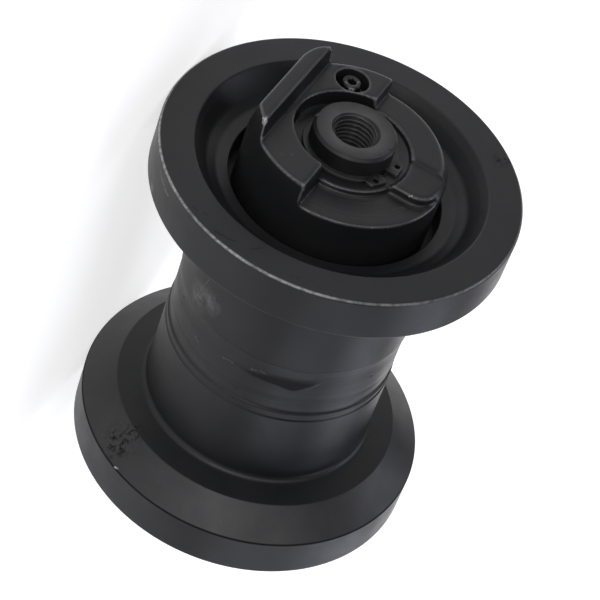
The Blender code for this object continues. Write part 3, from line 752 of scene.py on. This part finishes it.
def paint_material(name, level, roughness, turned_marks=0.0, bump=1.0, edge=0.0, marks=None):
    """Satin black paint over steel: slow colour drift, fine orange peel, turning marks, edges lightened by
    wear and as a painted highlight, and dust.

    marks(tree, place) gives three masks, or None: lighter marks (scuff marks, scratches, dust, painted sheen
    and painted glints), dark marks (pits, cracks and painted shade), and places rubbed through to the metal,
    with painted highlights. level is the paint's grey, and edge is how much its sharp edges are lightened, by
    wear and as a painted highlight.
    """
    made, tree, shader, place = new_material(name)
    drift = noise(tree, place, 22.0, 4.0, 0.55)
    colour = mixed(tree, drift, grey(level * 0.85, (0.94, 0.99, 1.10)), grey(level * 1.15, (0.98, 1.0, 1.05)))
    dust = noise(tree, place, 480.0, 2.0, 0.6)
    dust_and_sheen = maths(tree, 'MULTIPLY', spread(tree, dust, 0.86, 1.0), noise(tree, place, 35.0, 2.0, 0.5))
    colour = mixed(tree, maths(tree, 'MULTIPLY', dust_and_sheen, 0.4), colour, grey(level * 2.4))
    rough = noise(tree, place, 60.0, 5.0, 0.6, roughness - 0.04, roughness + 0.04)
    peel = noise(tree, place, 620.0, 3.0, 0.55)
    swell = noise(tree, place, 90.0, 2.0, 0.5)
    height = maths(tree, 'MULTIPLY_ADD', swell, 1.5, peel)
    # Sharp edges lighter and glossier: partly paint wear, partly a painted highlight along the edge.
    if edge:
        convex = node(tree, "NewGeometry").outputs["Pointiness"]
        wear_and_highlight = maths(tree, 'MULTIPLY', spread(tree, convex, EDGE_FLAT, EDGE_SHARP),
                     noise(tree, place, 70.0, 4.0, 0.6, 0.55, 1.0))
        colour = mixed(tree, maths(tree, 'MULTIPLY', wear_and_highlight, edge), colour, grey(WEAR_AND_HIGHLIGHT_LEVEL))
        rough = maths(tree, 'MULTIPLY_ADD', wear_and_highlight, -0.12, rough)
    light, dark, bare_and_highlight = marks(tree, place) if marks else (None, None, None)
    # lighter: scuff marks, scratches and dust, with painted sheen and painted glints
    if light is not None:
        colour = mixed(tree, light, colour, grey(SCUFF_AND_SHEEN_LEVEL))
        height = maths(tree, 'MULTIPLY_ADD', light, 1.5, height)
    # darker: real pits, cracks and rubs, and painted shade in hollows and under edges
    if dark is not None:
        colour = mixed(tree, dark, colour, grey(level * 0.10))
        rough = maths(tree, 'MULTIPLY_ADD', dark, 0.42, rough)
        height = maths(tree, 'MULTIPLY_ADD', dark, -6.0, height)
    # lightened to the metal's grey: rubbed-through spots, and painted highlights on the flange corners
    if bare_and_highlight is not None:
        colour = mixed(tree, bare_and_highlight, colour, grey(BARE_AND_HIGHLIGHT_LEVEL))
    if turned_marks:
        along = maths(tree, 'ADD', *axis_distances(tree, place))
        lines = turned_lines(tree, maths(tree, 'MULTIPLY', along, 1.4))
        height = maths(tree, 'MULTIPLY_ADD', lines, turned_marks, height)
    tree.links.new(colour, shader.inputs["Base Color"])
    tree.links.new(rough, shader.inputs["Roughness"])
    shader.inputs["Specular IOR Level"].default_value = PAINT_SPECULAR
    bumped = node(tree, "Bump", {"Strength": 0.09 * bump, "Distance": 0.0001, "Height": height})
    tree.links.new(bumped.outputs["Normal"], shader.inputs["Normal"])
    return made


def wobbly(tree, place, scale, reach):
    """Places pushed about by noise, so that marks come out ragged. reach is in millimetres."""
    push = node(tree, "TexNoise", {"Vector": place, "Scale": scale, "Detail": 3.0}).outputs["Color"]
    push = node(tree, "VectorMath", {0: push, 1: (0.5, 0.5, 0.5)}, operation='SUBTRACT').outputs[0]
    push = node(tree, "VectorMath", {0: push, "Scale": 2 * reach * MM}, operation='SCALE').outputs[0]
    return node(tree, "VectorMath", {0: place, 1: push}, operation='ADD').outputs[0]


def flange_corners(tree, place, radius, a):
    """Masks of the outer corners of both flanges, lightened as a painted highlight with some wear, and of
    painted shade in the rear flange's inner corner.
    """
    far = maths(tree, 'ABSOLUTE', a)
    patchy = noise(tree, place, 24.0, 4.0, 0.65, 0.35, 1.1)
    chipped = noise(tree, place, 260.0, 4.0, 0.7, 0.3, 1.6)
    # The flanges' outer corners lightened: a painted highlight with some wear, patchy, stronger on the low
    # side.
    corner = spread(tree, maths(tree, 'ADD', radius, far), CORNER_SUM - 0.42, CORNER_SUM - 0.02)
    z = node(tree, "SeparateXYZ", {0: place}).outputs[2]
    low_side = spread(tree, z, 0.10, -0.03, 0.40, 1.0)
    wear_and_highlight = maths(tree, 'MULTIPLY', maths(tree, 'MULTIPLY', corner, low_side),
                 maths(tree, 'MINIMUM', maths(tree, 'MULTIPLY', patchy, chipped), 1.0))
    # A thin line of painted shade under the rounded edge between the rear flange's rim and chamfer.
    lean = maths(tree, 'MULTIPLY_ADD', a, 0.447, maths(tree, 'MULTIPLY', radius, 0.894))
    inner_corner = maths(tree, 'MULTIPLY', spread(tree, radius, 116.0, 117.0),
                         spread(tree, a, -99.0, -100.0))
    painted_corner_shade = maths(tree, 'MULTIPLY', spread(tree, lean, 60.0, 60.2), inner_corner)
    return wear_and_highlight, painted_corner_shade


def shell_marks(tree, place):
    """Scuff marks and scratches with a painted highlight, dust and painted sheen on the rear chamfer, pitted
    patches, cracks, painted shade in the fold and the rear flange's corner, flange corners lit by a painted
    highlight with some wear, and a nick.
    """
    ragged = wobbly(tree, place, 160.0, 2.2)
    grain = noise(tree, place, 330.0, 6.0, 0.75)
    flakes = noise(tree, place, 110.0, 6.0, 0.7)
    radius, a = axis_distances(tree, place)
    wear_and_highlight, painted_corner_shade = flange_corners(tree, place, radius, a)
    # Lighter patches on the front tread: scuff streaks, together with a painted highlight.
    scuffed_and_highlit = strongest(tree, [
        spot(tree, ragged, (66.5, -35.0, -44.0), 13.0), spot(tree, ragged, (71.5, -41.0, -34.5), 12.0)])
    scuffs_and_highlight = maths(tree, 'MULTIPLY', scuffed_and_highlit, spread(tree, flakes, 0.25, 0.75))
    lines = strongest(tree, [
        scratch(tree, place, (64.1, -26.4, -47.1), (68.6, -54.9, -40.1), 0.8),
        maths(tree, 'MULTIPLY', scratch(tree, place, (89.3, 88.5, 40.4), (98.4, 97.8, 51.0), 0.8), 0.35),
        maths(tree, 'MULTIPLY', spot(tree, ragged, (108.2, 99.3, 31.8), 1.4), 0.5),
        scratch(tree, ragged, (93.2, -125.2, -75.6), (80.0, -127.8, -89.5), 2.4),
        spot(tree, ragged, (76.8, -108.6, -92.2), 3.5),
        maths(tree, 'MULTIPLY', spatter_glints(tree, place), 0.6)])
    # Lighter mottled band on the rear flange's chamfer: dust, and painted sheen standing in for light from
    # the floor's side.
    past_tread = maths(tree, 'MULTIPLY', spread(tree, radius, 98.0, 99.5), spread(tree, a, -87.0, -89.0))
    on_chamfer = maths(tree, 'MULTIPLY', past_tread, spread(tree, a, -105.5, -104.0))
    dust_and_sheen = maths(tree, 'MULTIPLY', on_chamfer, noise(tree, place, 40.0, 4.0, 0.6, 0.08, 0.16))
    light = strongest(tree, [maths(tree, 'MULTIPLY', scuffs_and_highlight, 0.8), maths(tree, 'MULTIPLY', lines, 0.8),
                             dust_and_sheen])
    nick = scratch(tree, wobbly(tree, place, 300.0, 0.4), NICK_START, NICK_STOP, 1.5)
    pitted = maths(tree, 'MULTIPLY', strongest(tree, [
        spot(tree, ragged, (95.0, 95.5, -56.0), 17.0), spot(tree, ragged, (87.5, 90.5, -50.0), 11.0),
        spot(tree, ragged, (-79.3, -135.0, 80.9), 9.0)]), 1.6)
    pitted = maths(tree, 'MULTIPLY', spread(tree, pitted, 0.0, 1.0), spread(tree, grain, 0.45, 0.75))
    cracks = strongest(tree, [
        scratch(tree, ragged, (100.6, -135.0, -56.8), (100.5, -135.0, -44.1), 1.5),
        scratch(tree, ragged, (109.7, -135.0, -35.5), (108.7, -135.0, -21.9), 1.5),
        scratch(tree, ragged, (112.0, -135.0, -13.1), (100.5, -135.0, -5.1), 1.3),
        scratch(tree, ragged, (113.5, -135.0, 12.0), (107.0, -135.0, 30.0), 1.0),
        spot(tree, place, (101.1, 99.8, -51.4), 2.6)])
    # dark: pits and cracks, and painted shade in the rear flange's corner and in the fold's hollow
    dark = strongest(tree, [pitted, maths(tree, 'MULTIPLY', cracks, 0.9), painted_corner_shade, fold(tree, place)])
    # third mask: the flange corners lightened as a painted highlight with some wear, and the nick
    return light, dark, maths(tree, 'MAXIMUM', maths(tree, 'MULTIPLY', wear_and_highlight, 0.7), nick)


def spatter_glints(tree, place):
    """Painted glints on the specks of spatter beside the weld."""
    ragged = wobbly(tree, place, 400.0, 0.8)
    glints = []
    for angle, a in SPATTER[:SEEN_SPATTER]:
        x, z = GLINT_RADIUS * math.cos(math.radians(angle)), GLINT_RADIUS * math.sin(math.radians(angle))
        glints.append(spot(tree, ragged, (x, -a, z), 1.3))
    return strongest(tree, glints)


def weld_marks(tree, place):
    # painted glints on the spatter, and painted shade in the fold's hollow
    return maths(tree, 'MULTIPLY', spatter_glints(tree, place), 0.5), fold(tree, place), None


def collar_marks(tree, place):
    """Chips on the ridge's near corner and on the land's rim, and circular tool lines on the lower step."""
    ragged = wobbly(tree, place, 420.0, 2.4)
    radius, a = axis_distances(tree, place)
    on_step = maths(tree, 'MULTIPLY', spread(tree, a, 144.6, 145.2), spread(tree, a, 147.8, 147.2))
    rings = turned_lines(tree, maths(tree, 'MULTIPLY', radius, 2.2))
    lines = maths(tree, 'MULTIPLY', spread(tree, rings, 0.58, 0.72),
                  noise(tree, place, 60.0, 3.0, 0.6, 0.1, 1.0))
    lines = maths(tree, 'MULTIPLY', lines, maths(tree, 'MULTIPLY', on_step, 0.5))
    scrapes = strongest(tree, [
        scratch(tree, ragged, (8.0, -154.5, 56.0), (-2.0, -154.5, 58.5), 0.8),
        scratch(tree, ragged, (20.0, -146.0, 50.0), (27.0, -146.0, 45.0), 0.8),
        scratch(tree, ragged, (52.0, -162.6, -30.0), (44.0, -162.6, -20.0), 0.6)])
    light = maths(tree, 'MAXIMUM', lines, maths(tree, 'MULTIPLY', scrapes, 0.6))
    bright_specks = strongest(tree, [spot(tree, ragged, centre, size) for centre, size in COLLAR_CHIPS])
    bright_specks = maths(tree, 'MULTIPLY', spread(tree, bright_specks, 0.35, 0.6),
                  noise(tree, place, 500.0, 3.0, 0.7, 0.1, 1.0))
    return light, None, bright_specks


def shaft_marks(tree, place):
    """Small dark rubs on the visible end face."""
    ragged = wobbly(tree, place, 300.0, 1.2)
    rubs = strongest(tree, [
        spot(tree, ragged, (1.0, -SHAFT_END, 24.5), 1.6),
        scratch(tree, ragged, (12.5, -SHAFT_END, 19.5), (8.5, -SHAFT_END, 22.5), 1.0)])
    return None, rubs, None


def plug_marks(tree, place):
    """Bright specks on one side of the head."""
    ragged = wobbly(tree, place, 700.0, 1.2)
    bright_specks = spread(tree, spot(tree, ragged, (-38.5, -158.5, -20.5), 4.2), 0.3, 0.6)
    bright_specks = maths(tree, 'MULTIPLY', bright_specks, noise(tree, place, 500.0, 3.0, 0.7))
    return bright_specks, None, bright_specks


def metal_material(name, colour, roughness):
    """Bare metal with faint stains and fine tool marks."""
    made, tree, shader, place = new_material(name)
    stain = noise(tree, place, 70.0, 4.0, 0.6)
    tree.links.new(mixed(tree, stain, (*[c * 0.72 for c in colour], 1.0), (*colour, 1.0)),
                   shader.inputs["Base Color"])
    shader.inputs["Metallic"].default_value = 1.0
    rough = noise(tree, place, 150.0, 4.0, 0.6, roughness - 0.07, roughness + 0.09)
    tree.links.new(rough, shader.inputs["Roughness"])
    marks = noise(tree, place, 300.0, 4.0, 0.6)
    bumped = node(tree, "Bump", {"Strength": 0.2, "Distance": 0.0001, "Height": marks})
    tree.links.new(bumped.outputs["Normal"], shader.inputs["Normal"])
    return made


shell_paint = paint_material("shell_paint_fine", level=0.0090, roughness=0.42, turned_marks=0.4,
                             marks=shell_marks)
weld_paint = paint_material("weld_paint_fine", level=0.0090, roughness=0.42, marks=weld_marks)
collar_paint = paint_material("collar_paint_fine", level=0.0075, roughness=0.36, bump=1.3, edge=1.0,
                              marks=collar_marks)
shaft_paint = paint_material("shaft_paint_fine", level=0.0055, roughness=0.46, turned_marks=0.6, edge=0.7,
                             marks=shaft_marks)
spring_steel = paint_material("spring_steel_fine", level=0.005, roughness=0.36, edge=0.5)
plug_steel = paint_material("plug_steel_fine", level=0.004, roughness=0.30, bump=2.0, edge=0.5,
                            marks=plug_marks)
washer_metal = metal_material("washer_metal_fine", colour=(0.45, 0.27, 0.16), roughness=0.40)
bush_bronze = metal_material("bush_bronze_fine", colour=(0.50, 0.33, 0.14), roughness=0.35)
seal_iron = metal_material("seal_iron_fine", colour=(0.42, 0.42, 0.43), roughness=0.25)
seal_rubber = paint_material("seal_rubber_fine", level=0.010, roughness=0.62)


# ---------------------------------------------------------------- studio

# The camera's own axes in the world: to the right, up and forward in the picture
RIGHT = Vector((-0.44051, -0.25761, 0.85958))
UP = Vector((-0.55742, -0.67213, -0.48694))
FORWARD = Vector((-0.70318, 0.69418, -0.15248))
CAMERA_PLACE = Vector((1.18633, -1.18167, 0.26255))
LENS = 151.74

SKY = 0.03
FLOOR_NEAR, FLOOR_FAR = 0.70, (0.42, 1.0)       # glow near the roller, and far away before and behind it
FAR_SIDE = (-0.71, 0.71, 0.0)                   # the way from the camera over the floor
COOL, PLAIN = (0.94, 0.957, 1.095), (1.0, 0.99, 1.02)
BOX_SIZE = 1.0
SOFTBOXES = (                   # metres to the right, up and towards the camera, watts, colour
    ("front", 0.0, 0.0, 2.0, 15.0, PLAIN),
    ("key", 1.15, 0.0, 1.64, 7.0, PLAIN), ("side", 1.99, 0.0, -0.17, 10.5, COOL),
    ("low", 0.0, -1.99, -0.17, 5.8, COOL), ("low_side", 1.41, -1.41, -0.17, 12.2, COOL),
    ("back_low", 0.63, -1.51, -1.15, 6.0, COOL), ("back", 0.71, -0.71, -1.73, 2.9, PLAIN))


def facing(right, up, back):
    """A rotation with its own X, Y and Z along these directions."""
    return Matrix((right, up, back)).transposed().to_4x4()


def add_camera():
    lens = bpy.data.cameras.new("camera")
    lens.lens, lens.sensor_width = LENS, 36.0
    lens.clip_start, lens.clip_end = 0.05, 200.0
    camera = add_object("camera", lens)
    camera.matrix_world = Matrix.Translation(CAMERA_PLACE) @ facing(RIGHT, UP, -FORWARD)
    bpy.context.scene.camera = camera


def add_softbox(name, right, up, towards, power, colour):
    """A square soft light, placed by distances in metres along the camera's axes from the roller."""
    lamp = bpy.data.lights.new(name, 'AREA')
    lamp.size, lamp.energy, lamp.color = BOX_SIZE, power, colour
    obj = add_object(name, lamp)
    place = RIGHT * right + UP * up - FORWARD * towards
    obj.matrix_world = Matrix.Translation(place) @ place.to_track_quat('Z', 'Y').to_matrix().to_4x4()
    obj.visible_camera = False


def cove_profile():
    """The floor's (radius, rise) in metres: flat round the roller, curving up far away into a low wall."""
    flat, bend, wall = 18.0, 6.0, 9.0
    curve = [(flat + bend * math.sin(a), bend * (1 - math.cos(a))) for a in np.radians(np.arange(0, 91, 6))]
    return [(0.5, 0.0), (3.0, 0.0), *curve, (flat + bend, wall)]


def add_floor():
    """The pale floor. It glows, by how far away and on which side it is, so that it stays white."""
    floor_mesh = bpy.data.meshes.new("floor")
    steps, floor_height = 96, CAD_BOX[0][2]
    angles = np.arange(steps) * 2 * math.pi / steps
    points = [(0.0, 0.0, floor_height)]
    faces = [(0, 1 + j, 1 + (j + 1) % steps) for j in range(steps)]
    for i, (radius, rise) in enumerate(cove_profile()):
        points += [(radius * math.cos(a), radius * math.sin(a), floor_height + rise) for a in angles]
        if i:
            low, high = 1 + (i - 1) * steps, 1 + i * steps
            faces += [(low + j, high + j, high + (j + 1) % steps, low + (j + 1) % steps)
                      for j in range(steps)]
    floor_mesh.from_pydata(points, [], faces)
    floor_mesh.shade_smooth()
    floor = add_object("floor", floor_mesh)
    made, tree, shader, place = new_material("floor_white")
    mottled = mixed(tree, noise(tree, place, 3.0), grey(0.48), grey(0.52))
    tree.links.new(mottled, shader.inputs["Base Color"])
    shader.inputs["Roughness"].default_value = 0.9
    shader.inputs["Specular IOR Level"].default_value = 0.1
    shader.inputs["Emission Color"].default_value = (1.0, 1.0, 1.0, 1.0)
    distance = node(tree, "VectorMath", {0: place}, operation='LENGTH').outputs["Value"]
    way = node(tree, "VectorMath", {0: place}, operation='NORMALIZE').outputs[0]
    behind = node(tree, "VectorMath", {0: way, 1: FAR_SIDE}, operation='DOT_PRODUCT').outputs["Value"]
    far = spread(tree, behind, 0.0, 0.75, *FLOOR_FAR)
    share = spread(tree, distance, 0.7, 2.5)
    glow = maths(tree, 'MULTIPLY_ADD', share, maths(tree, 'SUBTRACT', far, FLOOR_NEAR), FLOOR_NEAR)
    tree.links.new(glow, shader.inputs["Emission Strength"])
    floor.data.materials.append(made)


def add_studio():
    add_floor()
    world = bpy.data.worlds.new("studio")
    world.use_nodes = True
    sky = world.node_tree.nodes["Background"]
    sky.inputs["Color"].default_value = (1.0, 1.0, 1.0, 1.0)
    sky.inputs["Strength"].default_value = SKY
    bpy.context.scene.world = world
    for softbox in SOFTBOXES:
        add_softbox(*softbox)
    bpy.context.scene.view_settings.view_transform = 'Standard'


# ---------------------------------------------------------------- assembly

add_camera()
add_studio()

collar_form = collar_mesh()
plug_form = oil_plug_mesh()
for end in ("front", "rear"):
    shell_half(end)
    bush(end)
    seal_ring("rotating", end)
    seal_ring("fixed", end)
    rubber_ring("rotating_toric", end, "roller", TORIC_RADIUS, TORIC_SECTION, SEAL_PLANE - TORIC_OFFSET)
    rubber_ring("fixed_toric", end, "axle", TORIC_RADIUS, TORIC_SECTION, SEAL_PLANE + TORIC_OFFSET)
    rubber_ring("shaft_o_ring", end, "axle", O_RING_RADIUS, O_RING_SECTION, O_RING_HEIGHT)
    collar = place_copy(collar_form, "fine_collar_" + end, end)
    finish_piece(smooth(collar, 60, False), "collar_" + end, "axle", collar_paint)
    plug = place_copy(plug_form, "fine_oil_plug_" + end, end)
    finish_piece(smooth(plug, 35), "oil_plug_" + end, "axle", plug_steel)
    washer(end)
    circlip(end)
weld_bead()
shaft()
